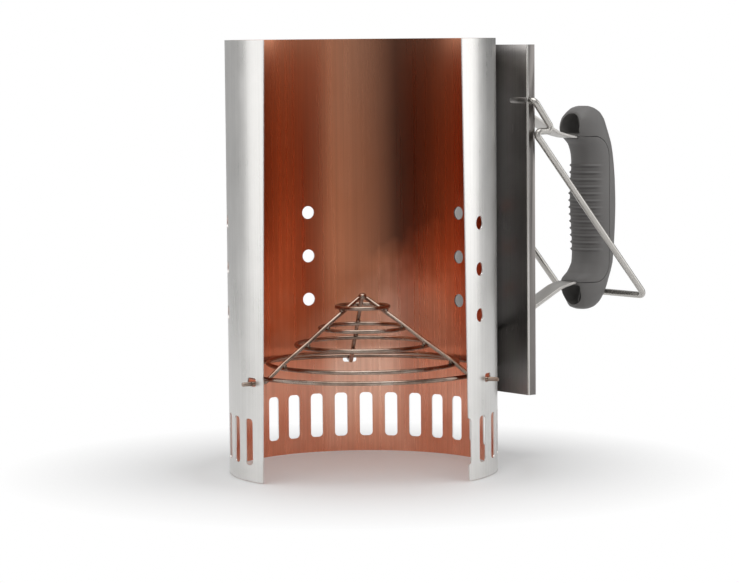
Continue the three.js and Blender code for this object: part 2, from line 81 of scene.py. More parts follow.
# Corners of a spoke's centre line, as (radius, height) in millimetres.
SPOKE_LINE = [(2.6, 122.6), (30.2, 105), (47.2, 93.4), (67.5, 80.7), (84, 68.3), (103.3, 68.3)]
BAIL_WIRE = 2.4 * MM  # radius
PIN_END = 24 * MM  # from the handle plane to each end of the bail's wire
BORE_RADIUS = 2.55 * MM  # of the holes in the shield that the wire turns in
BEAD_RADIUS = 3.65 * MM  # of the ridges pressed out of the shield over the wire's ends
BEAD_LENGTH = 21 * MM
FOLD_DEPTH = 6.85 * MM  # of the shield's folded edges

# Fine ribs on the finger side of the grip, in millimetres.
RIB_FIRST_Z = 145.95
RIB_PITCH = 5.25
RIB_COUNT = 13
RIB_HEIGHT = 1.25

PIVOT = Vector(frame["record"]["behaviour"]["joints"][0]["pos_m"]) - AXIS


def at_angle(radius, angle, height):
    return Vector((radius * math.cos(angle), radius * math.sin(angle), height))


def local_box(node):
    low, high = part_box(node)
    return low - AXIS, high - AXIS


# ---------------------------------------------------------------- mesh helpers

def make_object(name, mesh):
    piece = bpy.data.objects.new(name, mesh)
    bpy.context.scene.collection.objects.link(piece)
    piece.location = AXIS
    return piece


def mesh_from(name, vertices, faces):
    mesh = bpy.data.meshes.new(name)
    mesh.from_pydata(vertices, [], faces)
    mesh.validate()
    return mesh


def solid(name, vertices, faces):
    """An object whose faces all look outward."""
    mesh = mesh_from(name, vertices, faces)
    work = bmesh.new()
    work.from_mesh(mesh)
    bmesh.ops.recalc_face_normals(work, faces=work.faces)
    work.to_mesh(mesh)
    work.free()
    return make_object(name, mesh)


def shade(piece, degrees=35):
    """Smooth shading with a crease wherever two faces meet at more than an angle."""
    mesh = piece.data
    mesh.polygons.foreach_set("use_smooth", [True] * len(mesh.polygons))
    mesh.set_sharp_from_angle(angle=math.radians(degrees))


def evaluated(piece):
    """Applies a piece's modifiers to its mesh."""
    depsgraph = bpy.context.evaluated_depsgraph_get()
    mesh = bpy.data.meshes.new_from_object(piece.evaluated_get(depsgraph))
    piece.modifiers.clear()
    piece.data = mesh
    return piece


def boolean(piece, cutter, operation):
    """Cuts or joins a piece with a second one, which it uses up."""
    step = piece.modifiers.new("cut", "BOOLEAN")
    step.operation = operation
    step.solver = "MANIFOLD"
    step.object = cutter
    evaluated(piece)
    piece.data.materials.clear()
    bpy.data.objects.remove(cutter)
    return piece


def bevel(piece, width, segments=2, degrees=30):
    step = piece.modifiers.new("bevel", "BEVEL")
    step.width = width
    step.segments = segments
    step.limit_method = "ANGLE"
    step.angle_limit = math.radians(degrees)
    step.use_clamp_overlap = True
    return evaluated(piece)


def fillet(corners, bends, step_degrees=9):
    """A path through corners whose bends are arcs. bends holds one radius for each inner corner."""
    path = [corners[0].copy()]
    for i in range(1, len(corners) - 1):
        corner = corners[i]
        back = corners[i - 1] - corner
        ahead = corners[i + 1] - corner
        half = back.angle(ahead) / 2
        if half > math.radians(89):
            path.append(corner.copy())
            continue
        reach = min(bends[i - 1] / math.tan(half), back.length * 0.49, ahead.length * 0.49)
        radius = reach * math.tan(half)
        start = corner + back.normalized() * reach
        inward = (back.normalized() + ahead.normalized()).normalized()
        centre = corner + inward * (reach / math.cos(half))
        turn = math.pi - 2 * half
        spin = ahead.cross(back).normalized()
        steps = max(2, round(math.degrees(turn) / step_degrees))
        for k in range(steps + 1):
            arm = Matrix.Rotation(turn * k / steps, 3, spin) @ (start - centre)
            path.append(centre + arm.normalized() * radius)
    path.append(corners[-1].copy())
    return path


def circle_section(radius, sides):
    return [
        (radius * math.cos(2 * math.pi * k / sides), radius * math.sin(2 * math.pi * k / sides))
        for k in range(sides)
    ]


def rounded_section(width, height, corner, steps=3):
    """A rectangle with round corners, as (across, up) points."""
    points = []
    for quarter in range(4):
        sign_x = (1, -1, -1, 1)[quarter]
        sign_y = (1, 1, -1, -1)[quarter]
        for k in range(steps + 1):
            angle = math.pi / 2 * (quarter + k / steps)
            points.append((
                sign_x * (width / 2 - corner) + corner * math.cos(angle),
                sign_y * (height / 2 - corner) + corner * math.sin(angle),
            ))
    return points


def loft(name, rows, closed=False):
    """A solid through rows of points. It has flat ends, or it is closed into a ring."""
    count, sides = len(rows), len(rows[0])
    faces = []
    for i in range(count if closed else count - 1):
        row = i * sides
        ahead = (i + 1) % count * sides
        for k in range(sides):
            m = (k + 1) % sides
            faces.append((row + k, row + m, ahead + m, ahead + k))
    if not closed:
        faces.append(tuple(reversed(range(sides))))
        faces.append(tuple(range((count - 1) * sides, count * sides)))
    return solid(name, [p for row in rows for p in row], faces)


def sweep(name, path, section, up, closed=False, scales=None):
    """Carries a section along a path. The section's second axis starts along up and turns with the path."""
    count = len(path)
    tangents = []
    for i in range(count):
        before = path[i - 1] if i or closed else path[i]
        after = path[(i + 1) % count] if i < count - 1 or closed else path[i]
        arriving = (path[i] - before).normalized() if (path[i] - before).length > 0 else Vector()
        leaving = (after - path[i]).normalized() if (after - path[i]).length > 0 else Vector()
        tangents.append((arriving + leaving).normalized())
    up = (up - tangents[0] * up.dot(tangents[0])).normalized()
    rows = []
    for i in range(count):
        if i:
            up = tangents[i - 1].rotation_difference(tangents[i]) @ up
            up = (up - tangents[i] * up.dot(tangents[i])).normalized()
        side = tangents[i].cross(up)
        scale = scales[i] if scales else 1.0
        rows.append([path[i] + side * (a * scale) + up * (b * scale) for a, b in section])
    return loft(name, rows, closed)


def wire(name, path, radius, up, sides=24, closed=False):
    """A round wire whose ends are slightly domed."""
    if closed:
        return sweep(name, path, circle_section(radius, sides), up, closed=True)
    steps = 4
    first = (path[0] - path[1]).normalized()
    last = (path[-1] - path[-2]).normalized()
    start, end = path[0] - first * radius * 0.6, path[-1] - last * radius * 0.6
    head, tail = [], []
    for k in range(steps):
        angle = math.pi / 2 * k / steps
        head.append((start + first * radius * 0.6 * math.cos(angle), max(math.sin(angle), 0.25)))
        tail.append((end + last * radius * 0.6 * math.cos(angle), max(math.sin(angle), 0.25)))
    stations = head + [(start, 1.0)] + [(p, 1.0) for p in path[1:-1]] + [(end, 1.0)] + tail[::-1]
    return sweep(
        name,
        [p for p, _ in stations],
        circle_section(radius, sides),
        up,
        scales=[s for _, s in stations],
    )


def lathe(name, profile, direction, origin, sides=32):
    """Turns (radius, along) points about an axis. The profile starts and ends on the axis."""
    turn = Vector((0, 0, 1)).rotation_difference(direction)
    vertices = [origin + turn @ Vector((0, 0, profile[0][1]))]
    for radius, along in profile[1:-1]:
        for k in range(sides):
            angle = 2 * math.pi * k / sides
            spoke = Vector((radius * math.cos(angle), radius * math.sin(angle), along))
            vertices.append(origin + turn @ spoke)
    vertices.append(origin + turn @ Vector((0, 0, profile[-1][1])))
    faces = []
    rings = len(profile) - 2
    for k in range(sides):
        m = (k + 1) % sides
        faces.append((0, 1 + m, 1 + k))
        for ring in range(rings - 1):
            row = 1 + ring * sides
            faces.append((row + k, row + m, row + sides + m, row + sides + k))
        row = 1 + (rings - 1) * sides
        faces.append((row + k, row + m, len(vertices) - 1))
    return solid(name, vertices, faces)


def extrude_outline(name, outline, thickness):
    """A plate from a closed outline of points, given its thickness as a vector."""
    return loft(name, [outline, [p + thickness for p in outline]])


def joined(pieces, name):
    """One object made of several, which it uses up."""
    work = bmesh.new()
    for piece in pieces:
        work.from_mesh(piece.data)
        bpy.data.objects.remove(piece)
    mesh = bpy.data.meshes.new(name)
    work.to_mesh(mesh)
    work.free()
    return make_object(name, mesh)


def fit(piece, material, body="chimney", replaces=()):
    """Gives a finished piece its material and its body, and hides the CAD nodes that it stands for."""
    if not piece.data.materials:
        piece.data.materials.append(material)
    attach(piece, body)
    if replaces:
        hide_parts(*replaces)
    return piece


# ---------------------------------------------------------------- material helpers

def add_node(material, kind, settings=None, **inputs):
    """Adds a node, sets its attributes, and sets or links its inputs by name."""
    tree = material.node_tree
    made = tree.nodes.new(kind)
    for key, value in (settings or {}).items():
        setattr(made, key, value)
    for key, value in inputs.items():
        index = int(key[3:]) if key.startswith("in_") else key.replace("_", " ")
        socket = made.inputs[index]
        if isinstance(value, bpy.types.NodeSocket):
            tree.links.new(value, socket)
        else:
            socket.default_value = value
    return made


def new_material(name, **values):
    material = bpy.data.materials.new(name)
    material.use_nodes = True
    shader = material.node_tree.nodes["Principled BSDF"]
    for key, value in values.items():
        shader.inputs[key.replace("_", " ")].default_value = value
    return material, shader


def link(material, output, shader, name):
    material.node_tree.links.new(output, shader.inputs[name])


def noise_at(material, stretch, scale, detail=4.0, roughness=0.55, offset=(0, 0, 0)):
    """Noise over the object's own coordinates, scaled by axis."""
    where = add_node(material, "ShaderNodeTexCoord").outputs["Object"]
    moved = add_node(material, "ShaderNodeMapping", Vector=where, Scale=stretch, Location=offset)
    return add_node(
        material, "ShaderNodeTexNoise",
        Vector=moved.outputs["Vector"], Scale=scale, Detail=detail, Roughness=roughness,
    ).outputs["Fac"]


def maths(material, operation, *values):
    inputs = {f"in_{i}": value for i, value in enumerate(values)}
    return add_node(material, "ShaderNodeMath", {"operation": operation}, **inputs).outputs[0]


def own_place(material):
    """The object's own coordinates, as one output for each axis."""
    where = add_node(material, "ShaderNodeTexCoord").outputs["Object"]
    return add_node(material, "ShaderNodeSeparateXYZ", Vector=where).outputs


def ramp(material, value, stops):
    """Colours by value. stops holds (position, colour) pairs."""
    made = add_node(material, "ShaderNodeValToRGB", Fac=value)
    band = made.color_ramp
    while len(band.elements) < len(stops):
        band.elements.new(0.5)
    for element, (position, colour) in zip(band.elements, stops):
        element.position = position
        element.color = (*colour, 1.0)
    return made.outputs["Color"]


def remap(material, value, low, high, to_low, to_high):
    """Carries values from one range to another, and holds them within it."""
    return add_node(
        material, "ShaderNodeMapRange",
        Value=value, From_Min=low, From_Max=high, To_Min=to_low, To_Max=to_high,
    ).outputs["Result"]


def mix_colour(material, factor, first, second):
    made = add_node(material, "ShaderNodeMix", {"data_type": "RGBA", "blend_type": "MIX"})
    tree = material.node_tree
    for index, value in ((0, factor), (6, first), (7, second)):
        if isinstance(value, bpy.types.NodeSocket):
            tree.links.new(value, made.inputs[index])
        elif index == 0:
            made.inputs[index].default_value = value
        else:
            made.inputs[index].default_value = (*value, 1.0)
    return made.outputs[2]


def bump(material, height, distance):
    return add_node(material, "ShaderNodeBump", Height=height, Distance=distance).outputs["Normal"]


# ---------------------------------------------------------------- materials

def steel(name, dark, light, roughness, grain, grain_depth=0.00002, spread=0.05):
    """Satin steel with a directional grain, soft mottling and small dark freckles."""
    material, shader = new_material(name, Metallic=1.0)
    streaks = noise_at(material, grain, 1.0, 5.0, 0.7)
    clouds = noise_at(material, (1, 1, 1), 26.0, 3.0)
    spots = noise_at(material, (1, 1, 1), 420.0, 2.0, offset=(0.3, 0.1, 0.7))
    blended = mix_colour(material, 0.45, streaks, clouds)
    colour = mix_colour(material, remap(material, blended, 0.32, 0.68, 0, 1), dark, light)
    freckled = mix_colour(material, remap(material, spots, 0.62, 0.75, 0, 0.35), colour, dark)
    link(material, freckled, shader, "Base Color")
    varied = mix_colour(material, 0.5, streaks, clouds)
    worn = remap(material, varied, 0.3, 0.7, roughness - spread, roughness + spread)
    link(material, worn, shader, "Roughness")
    link(material, bump(material, streaks, grain_depth), shader, "Normal")
    return material


def inner_steel(name):
    """The inside of the wall: steel tinted copper by heat, with a dark band up one side of its upper part.
    """
    material, shader = new_material(name, Metallic=1.0)
    where = add_node(material, "ShaderNodeTexCoord").outputs["Object"]
    height = add_node(material, "ShaderNodeSeparateXYZ", Vector=where).outputs["Z"]
    streaks = noise_at(material, (420, 420, 4), 1.0, 5.0, 0.6)
    clouds = noise_at(material, (1, 1, 0.6), 14.0, 4.0)
    wander = remap(material, clouds, 0.2, 0.8, -0.055, 0.055)
    level = remap(material, maths(material, "ADD", height, wander), 0.0, 0.31, 0.0, 1.0)
    tint = ramp(material, level, [
        (0.0, (0.82, 0.34, 0.21)),
        (0.24, (0.93, 0.55, 0.41)),
        (0.42, (0.82, 0.31, 0.16)),
        (0.68, (0.70, 0.26, 0.13)),
        (1.0, (0.76, 0.34, 0.20)),
    ])
    sideways = at_angle(1, WINDOW_MIDDLE + math.pi / 2, 0)
    aside = add_node(
        material, "ShaderNodeVectorMath", {"operation": "DOT_PRODUCT"}, in_0=where, in_1=sideways,
    ).outputs["Value"]
    # A dark band up one side of the wall, above a middle height.
    dark_band = ramp(material, remap(material, aside, -0.1, 0.1, 0.0, 1.0), [
        (at, (share, share, share)) for at, share in ((0.4, 0.0), (0.64, 0.88), (0.76, 0.72), (0.9, 0.2))
    ])
    above = remap(material, level, 0.3, 0.5, 0.0, 1.0)
    tint = mix_colour(material, maths(material, "MULTIPLY", dark_band, above), tint, (0.07, 0.04, 0.03))
    stained = remap(material, streaks, 0.4, 0.75, 0.0, 0.22)
    link(material, mix_colour(material, stained, tint, (0.16, 0.08, 0.05)), shader, "Base Color")
    link(material, remap(material, streaks, 0.3, 0.7, 0.25, 0.33), shader, "Roughness")
    link(material, bump(material, streaks, 0.00001), shader, "Normal")
    return material


def grate_wire_steel(name):
    """The grate's wire: drawn steel, browned and scaled by the fire in patches."""
    material, shader = new_material(name, Metallic=1.0)
    clouds = noise_at(material, (1, 1, 1), 60.0, 5.0)
    fine = noise_at(material, (1, 1, 1), 900.0, 3.0)
    tint = ramp(material, clouds, [
        (0.25, (0.14, 0.09, 0.065)),
        (0.5, (0.34, 0.26, 0.21)),
        (0.75, (0.50, 0.42, 0.36)),
    ])
    link(material, tint, shader, "Base Color")
    link(material, remap(material, clouds, 0.3, 0.7, 0.16, 0.30), shader, "Roughness")
    link(material, bump(material, fine, 0.00002), shader, "Normal")
    return material


def painted_shade_face_steel(name):
    """The shield's face, darkened by painted shade: darkest in its middle and at its bottom, lighter
    towards its folds and its top.
    """
    material = steel(name, (0.62, 0.585, 0.57), (0.86, 0.815, 0.79), 0.30, (700, 700, 6))
    shader = material.node_tree.nodes["Principled BSDF"]
    unshaded_colour = shader.inputs["Base Color"].links[0].from_socket
    place = own_place(material)
    # Painted shade: scales the steel's colour down, most in the middle and towards the bottom.
    across = remap(material, maths(material, "ABSOLUTE", place["Y"]), 0.010, 0.041, 0.11, 0.62)
    along = remap(material, place["Z"], 0.06, 0.30, 0.62, 1.2)
    painted_light_share = maths(material, "MULTIPLY", across, along)
    painted_shade_colour = add_node(material, "ShaderNodeVectorMath", {"operation": "SCALE"}, in_0=unshaded_colour, Scale=painted_light_share)
    link(material, painted_shade_colour.outputs[0], shader, "Base Color")
    return material


def painted_groove_shade(material):
    """Painted shade on the grip's finger ribs, from 0 to 1: a dark line along the lower side of each rib
    and a fainter one halfway between ribs, on the finger side only.
    """
    place = own_place(material)
    start = (RIB_FIRST_Z - 0.75) * MM
    turns = remap(material, place["Z"], start, start + RIB_PITCH * MM, 0.0, 2 * math.pi)
    turns.node.clamp = False
    wave = maths(material, "COSINE", turns)
    main_shadow_line = remap(material, wave, 0.35, 1.0, 0.0, 1.0)
    faint_shadow_line = remap(material, wave, -1.0, -0.75, 0.5, 0.0)
    share = maths(material, "MAXIMUM", main_shadow_line, faint_shadow_line)
    low = remap(material, place["Z"], start - 2 * MM, start, 0.0, 1.0)
    top = start + RIB_PITCH * (RIB_COUNT - 1) * MM
    high = remap(material, place["Z"], top, top + 2 * MM, 1.0, 0.0)
    fingers = remap(material, place["X"], 0.210, 0.216, 1.0, 0.0)
    for limit in (low, high, fingers):
        share = maths(material, "MULTIPLY", share, limit)
    return share


def moulded_plastic(name):
    """Dark grey glass-filled plastic: a fine spark-eroded texture with pale wear, faint flow, and painted
    shade along its finger ribs.
    """
    material, shader = new_material(name, Metallic=0.0)
    shader.inputs["Specular IOR Level"].default_value = 0.42
    fine = noise_at(material, (1, 1, 1), 2600.0, 3.0)
    flow = noise_at(material, (1, 1, 0.5), 34.0, 4.0)
    colour = ramp(material, flow, [(0.3, (0.155, 0.149, 0.145)), (0.7, (0.185, 0.179, 0.174))])
    speck = mix_colour(material, remap(material, fine, 0.6, 0.72, 0.0, 0.3), colour, (0.27, 0.262, 0.255))
    # Painted shade: the base colour is darkened along the finger ribs.
    painted_groove_darkening = remap(material, painted_groove_shade(material), 0.0, 1.0, 0.0, 0.45)
    link(material, mix_colour(material, painted_groove_darkening, speck, (0.05, 0.047, 0.045)), shader, "Base Color")
    link(material, remap(material, fine, 0.3, 0.7, 0.44, 0.60), shader, "Roughness")
    link(material, bump(material, fine, 0.00006), shader, "Normal")
    return material


SHELL_STEEL = steel("shell_steel", (0.66, 0.65, 0.63), (0.82, 0.81, 0.79), 0.30, (420, 420, 5))
INNER_STEEL = inner_steel("shell_inside_heat_tint")
# A dark copy of the shield's steel for its flanges and outer faces: painted shade.
SHIELD_PAINTED_SHADE_STEEL = steel("shield_steel", (0.19, 0.175, 0.168), (0.27, 0.252, 0.24), 0.30, (700, 700, 6))
SHIELD_FACE_PAINTED_SHADE = painted_shade_face_steel("shield_face_painted_shade")
# A bright copy of the shield's steel for its folds: a painted highlight.
SHIELD_FOLD_PAINTED_HIGHLIGHT = steel("shield_fold_painted_highlight", (0.60, 0.58, 0.55), (0.76, 0.74, 0.71), 0.22, (700, 700, 6))
STRAP_STEEL = steel("strap_steel", (0.52, 0.50, 0.475), (0.68, 0.66, 0.63), 0.36, (60, 1500, 60))
BRACKET_STEEL = steel("bracket_steel", (0.50, 0.48, 0.46), (0.66, 0.64, 0.61), 0.38, (60, 60, 900))
WIRE_STEEL = steel(
    "bail_wire_steel", (0.50, 0.48, 0.45), (0.60, 0.58, 0.55), 0.27, (900, 900, 900), 0.000003, 0.02,
)
FASTENER_STEEL = steel("fastener_steel", (0.58, 0.56, 0.54), (0.78, 0.76, 0.73), 0.30, (900, 900, 900))
GRATE_STEEL = grate_wire_steel("grate_wire_steel")
GRIP_PLASTIC = moulded_plastic("grip_plastic")


# ---------------------------------------------------------------- cylinder

def bent_panel(name, inner, outer, bottom, top, edges_at, columns, rows):
    """A panel bent round the axis. edges_at(height share) gives the angles of its two sides."""
    vertices = []
    for radius in (inner, outer):
        for row in range(rows + 1):
            share = row / rows
            first, last = edges_at(share)
            for column in range(columns + 1):
                angle = first + (last - first) * column / columns
                vertices.append(at_angle(radius, angle, bottom + (top - bottom) * share))
    wide = columns + 1
    layer = wide * (rows + 1)
    faces = []
    for row in range(rows):
        for column in range(columns):
            a = row * wide + column
            faces.append((a, a + wide, a + wide + 1, a + 1))
            faces.append((a + layer, a + layer + 1, a + layer + wide + 1, a + layer + wide))
    for column in range(columns):
        low = column
        high = rows * wide + column
        faces.append((low, low + 1, low + 1 + layer, low + layer))
        faces.append((high, high + layer, high + 1 + layer, high + 1))
    for row in range(rows):
        near = row * wide
        far = near + columns
        faces.append((near, near + layer, near + layer + wide, near + wide))
        faces.append((far, far + wide, far + wide + layer, far + layer))
    return solid(name, vertices, faces)


def window_edges(share):
    """The angles of the wall's two free edges, at a share of its height."""
    half = WINDOW_HALF_BASE + (WINDOW_HALF_TOP - WINDOW_HALF_BASE) * share
    return WINDOW_MIDDLE + half, WINDOW_MIDDLE + 2 * math.pi - half


def wall_cutter(section, angle):
    """A prism that passes through the wall at an angle. The section is (across, height) points."""
    out = Vector((math.cos(angle), math.sin(angle), 0))
    across = Vector((-math.sin(angle), math.cos(angle), 0))
    start = out * (SHELL_RADIUS - 6 * MM)
    outline = [start + across * a + Vector((0, 0, b)) for a, b in section]
    return extrude_outline("cutter", outline, out * 12 * MM)


def raised(section, height):
    return [(a, b + height) for a, b in section]


def wall_cutters():
    """The cutters for the lighting slots, the air holes and the slots for the grate's feet."""
    cutters = []
    slot = raised(rounded_section(SLOT_WIDTH, SLOT_HEIGHT, SLOT_CORNER, 5), SLOT_BOTTOM + SLOT_HEIGHT / 2)
    for first, pitch, count in SLOT_GROUPS:
        for k in range(count):
            cutters.append(wall_cutter(slot, math.radians(first + k * pitch)))
    for angle in HOLE_ANGLES:
        for height in HOLE_HEIGHTS:
            hole = raised(circle_section(HOLE_RADIUS, 28), height)
            cutters.append(wall_cutter(hole, math.radians(angle)))
    foot = raised(rounded_section(10 * MM, 6 * MM, 1.6 * MM), (SPOKE_LINE[-1][1] + 1.2) * MM)
    for angle in SPOKE_ANGLES:
        cutters.append(wall_cutter(foot, angle))
    return joined(cutters, "cutters")


def round_normals(piece):
    """Gives the wall's faces the normals of a true cylinder, and sorts inside from outside."""
    mesh = piece.data
    normals = []
    for face in mesh.polygons:
        out = Vector((face.center.x, face.center.y, 0)).normalized()
        facing = face.normal.dot(out)
        if facing < -0.93:
            face.material_index = 1
        for index in face.loop_indices:
            spot = mesh.vertices[mesh.loops[index].vertex_index].co
            radial = Vector((spot.x, spot.y, 0)).normalized()
            if abs(facing) > 0.93:
                normals.append(radial if facing > 0 else -radial)
            else:
                normals.append(face.normal.copy())
    mesh.polygons.foreach_set("use_smooth", [True] * len(mesh.polygons))
    mesh.normals_split_custom_set(normals)


def make_shell():
    wall = bent_panel(
        "body_wall", SHELL_RADIUS - SHEET, SHELL_RADIUS, 0.0, SHELL_HEIGHT, window_edges, 216, 10,
    )
    boolean(wall, wall_cutters(), "DIFFERENCE")
    bevel(wall, 0.2 * MM, 2, 40)
    wall.data.materials.append(SHELL_STEEL)
    wall.data.materials.append(INNER_STEEL)
    round_normals(wall)
    fit(wall, SHELL_STEEL, replaces=["body_shell"])

    half = SEAM_WIDTH / 2 / SHELL_RADIUS
    lap = bent_panel(
        "lap_seam",
        SHELL_RADIUS - 0.05 * MM,
        SHELL_RADIUS + SHEET * 0.9,
        0.0,
        SHELL_HEIGHT,
        lambda share: (SEAM_ANGLE - half, SEAM_ANGLE + half),
        6,
        8,
    )
    bevel(lap, 0.22 * MM, 2, 40)
    shade(lap)
    fit(lap, SHELL_STEEL)
    for k in range(8):
        height = SHELL_HEIGHT * (k + 0.5) / 8
        spot_weld(f"seam_weld_{k + 1}", SHELL_RADIUS + SHEET * 0.9, SEAM_ANGLE, height)


def spot_weld(name, radius, angle, height):
    """The shallow round mark of a spot weld."""
    dimple = [(0, -0.2), (2.6, -0.2), (2.7, 0.0), (2.3, 0.14), (1.5, 0.04), (0, -0.02)]
    profile = [(r * MM, a * MM) for r, a in dimple]
    weld = lathe(name, profile, at_angle(1, angle, 0), at_angle(radius, angle, height))
    shade(weld, 60)
    fit(weld, BRACKET_STEEL)


# ---------------------------------------------------------------- cone grate

def ring_sizes():
    """Radius and height of each grate ring, from the frame."""
    sizes = []
    for number in range(1, 6):
        low, high = local_box(f"grate_ring_{number}")
        sizes.append(((high.x - low.x) / 2 - GRATE_WIRE, (low.z + high.z) / 2))
    return sizes


def spoke_height(radius):
    """Height of a spoke's centre line at a distance from the axis."""
    for (x0, z0), (x1, z1) in zip(SPOKE_LINE, SPOKE_LINE[1:]):
        if x0 * MM <= radius <= x1 * MM:
            return (z0 + (z1 - z0) * (radius / MM - x0) / (x1 - x0)) * MM
    return SPOKE_LINE[-1][1] * MM


def make_weld(name, where, size, seed):
    """A small lump of weld metal where two grate wires cross."""
    rng = random.Random(seed)
    work = bmesh.new()
    bmesh.ops.create_icosphere(work, subdivisions=3, radius=1.0)
    for vertex in work.verts:
        vertex.co *= 1 + rng.uniform(-0.05, 0.05)
        vertex.co = Vector((vertex.co.x * size, vertex.co.y * size, vertex.co.z * size * 0.8)) + where
    mesh = bpy.data.meshes.new(name)
    work.to_mesh(mesh)
    work.free()
    weld = make_object(name, mesh)
    shade(weld, 180)
    return fit(weld, GRATE_STEEL)


def make_grate():
    rings = ring_sizes()
    for number, (radius, height) in enumerate(rings, 1):
        steps = 96 + round(radius / MM)
        path = [at_angle(radius, 2 * math.pi * k / steps, height) for k in range(steps)]
        ring = wire(f"grate_ring_wire_{number}", path, GRATE_WIRE, Vector((0, 0, 1)), 20, closed=True)
        shade(ring, 60)
        fit(ring, GRATE_STEEL, replaces=[f"grate_ring_{number}"])
    corners = [Vector((x * MM, 0, z * MM)) for x, z in SPOKE_LINE]
    line = fillet(corners, [30 * MM, 40 * MM, 30 * MM, 7 * MM])
    for number, angle in enumerate(SPOKE_ANGLES, 1):
        path = [Matrix.Rotation(angle, 3, "Z") @ p for p in line]
        across = at_angle(1, angle + math.pi / 2, 0)
        spoke = wire(f"grate_spoke_wire_{number}", path, GRATE_WIRE, across, 20)
        shade(spoke, 60)
        fit(spoke, GRATE_STEEL, replaces=[f"grate_spoke_{number}"])
        for order, (radius, height) in enumerate(rings, 1):
            middle = (height + spoke_height(radius)) / 2
            spot = at_angle(radius, angle, middle)
            make_weld(f"grate_weld_{number}_{order}", spot, 1.7 * MM, 10 * number + order)
    make_weld("grate_tip_weld", Vector((0, 0, 123.2 * MM)), 3.1 * MM, 7)


# ---------------------------------------------------------------- heat shield

def rod(name, radius, start, end, round_end):
    """A straight rod on the bail's axis, between two values of Y. Its far end may be a dome."""
    length = abs(end - start)
    sign = 1 if end > start else -1
    profile = [(0.0, 0.0), (radius, 0.0)]
    if round_end:
        for k in range(1, 9):
            angle = math.pi / 2 * k / 8
            profile.append((radius * math.cos(angle), length - radius + radius * math.sin(angle)))
    else:
        profile += [(radius, length), (0.0, length)]
    return lathe(name, profile, Vector((0, sign, 0)), Vector((PIVOT.x, start, PIVOT.z)), 40)


def shield_face():
    """X of the side of the shield that faces the cylinder."""
    return local_box("heat_shield")[1].x - FOLD_DEPTH


def make_shield():
    low, high = local_box("heat_shield")
    half = (high.y - low.y) / 2 - SHEET / 2
    face = shield_face()
    middle = face + SHEET / 2
    corners = [
        Vector((high.x, -half, 0)),
        Vector((middle, -half, 0)),
        Vector((middle, half, 0)),
        Vector((high.x, half, 0)),
    ]
    line = fillet(corners, [1 * MM, 1 * MM], 10)
    outline = [Vector((p.x, p.y, low.z)) for p in offset_outline(line, SHEET)]
    shield = extrude_outline("heat_shield_sheet", outline, Vector((0, 0, high.z - low.z)))
    edge = half + SHEET / 2
    for side in (-1, 1):
        bead = rod("bead", BEAD_RADIUS, side * (edge - 1 * MM), side * (edge - BEAD_LENGTH), True)
        behind = prism_box("behind", (face + SHEET * 0.9, high.x + 9 * MM), edge + 3 * MM, PIVOT.z, 9 * MM)
        boolean(bead, behind, "DIFFERENCE")
        boolean(shield, bead, "UNION")
        bore = rod("bore", BORE_RADIUS, side * (edge + 3 * MM), side * (PIN_END - 1 * MM), False)
        boolean(shield, bore, "DIFFERENCE")
    bevel(shield, 0.2 * MM, 2, 50)
    shade(shield, 30)
    # The shield is one steel in three copies: the dark one, painted shade, on its flanges and outer faces;
    # a bright one, a painted highlight, on its folds; and the face with its painted shade.
    for material in (SHIELD_PAINTED_SHADE_STEEL, SHIELD_FOLD_PAINTED_HIGHLIGHT, SHIELD_FACE_PAINTED_SHADE):
        shield.data.materials.append(material)
    fold = edge - 1.6 * MM
    for polygon in shield.data.polygons:
        at_fold = abs(polygon.center.y) > fold and polygon.center.x < face + 1.6 * MM
        # Fold faces take the bright copy: a painted highlight.
        if at_fold and max(abs(n) for n in polygon.normal) < 0.99:
            polygon.material_index = 1
        elif polygon.normal.x < -0.5:
            polygon.material_index = 2
    fit(shield, SHIELD_PAINTED_SHADE_STEEL, replaces=["heat_shield"])


def prism_box(name, span_x, half_y, middle_z, half_z):
    """A plain box used as a cutter."""
    outline = [
        Vector((span_x[0], -half_y, middle_z - half_z)),
        Vector((span_x[1], -half_y, middle_z - half_z)),
        Vector((span_x[1], half_y, middle_z - half_z)),
        Vector((span_x[0], half_y, middle_z - half_z)),
    ]
    return extrude_outline(name, outline, Vector((0, 0, 2 * half_z)))


def offset_outline(line, thickness):
    """The closed outline of a strip that follows a flat line, in the line's own plane."""
    normal = Vector((0, 0, 1))
    left, right = [], []
    for i, here in enumerate(line):
        before = line[max(i - 1, 0)]
        after = line[min(i + 1, len(line) - 1)]
        arriving = (here - before).normalized() if i else (after - here).normalized()
        leaving = (after - here).normalized() if i < len(line) - 1 else arriving
        along = (arriving + leaving).normalized()
        across = normal.cross(along)
        stretch = 1 / max(across.dot(normal.cross(arriving)), 0.5)
        left.append(here + across * (thickness / 2 * stretch))
        right.append(here - across * (thickness / 2 * stretch))
    return left + right[::-1]


# ---------------------------------------------------------------- brackets and rivets

BRACKET_HALF = 5.4 * MM  # from Y = 0 to the middle of a bracket's side
BRACKET_HEIGHT = 26 * MM
BRACKET_SHEET = 1.2 * MM
JOINT_GAP = 0.3 * MM  # between pieces that touch
FOOT_WELD_ANGLE = math.radians(7.6)


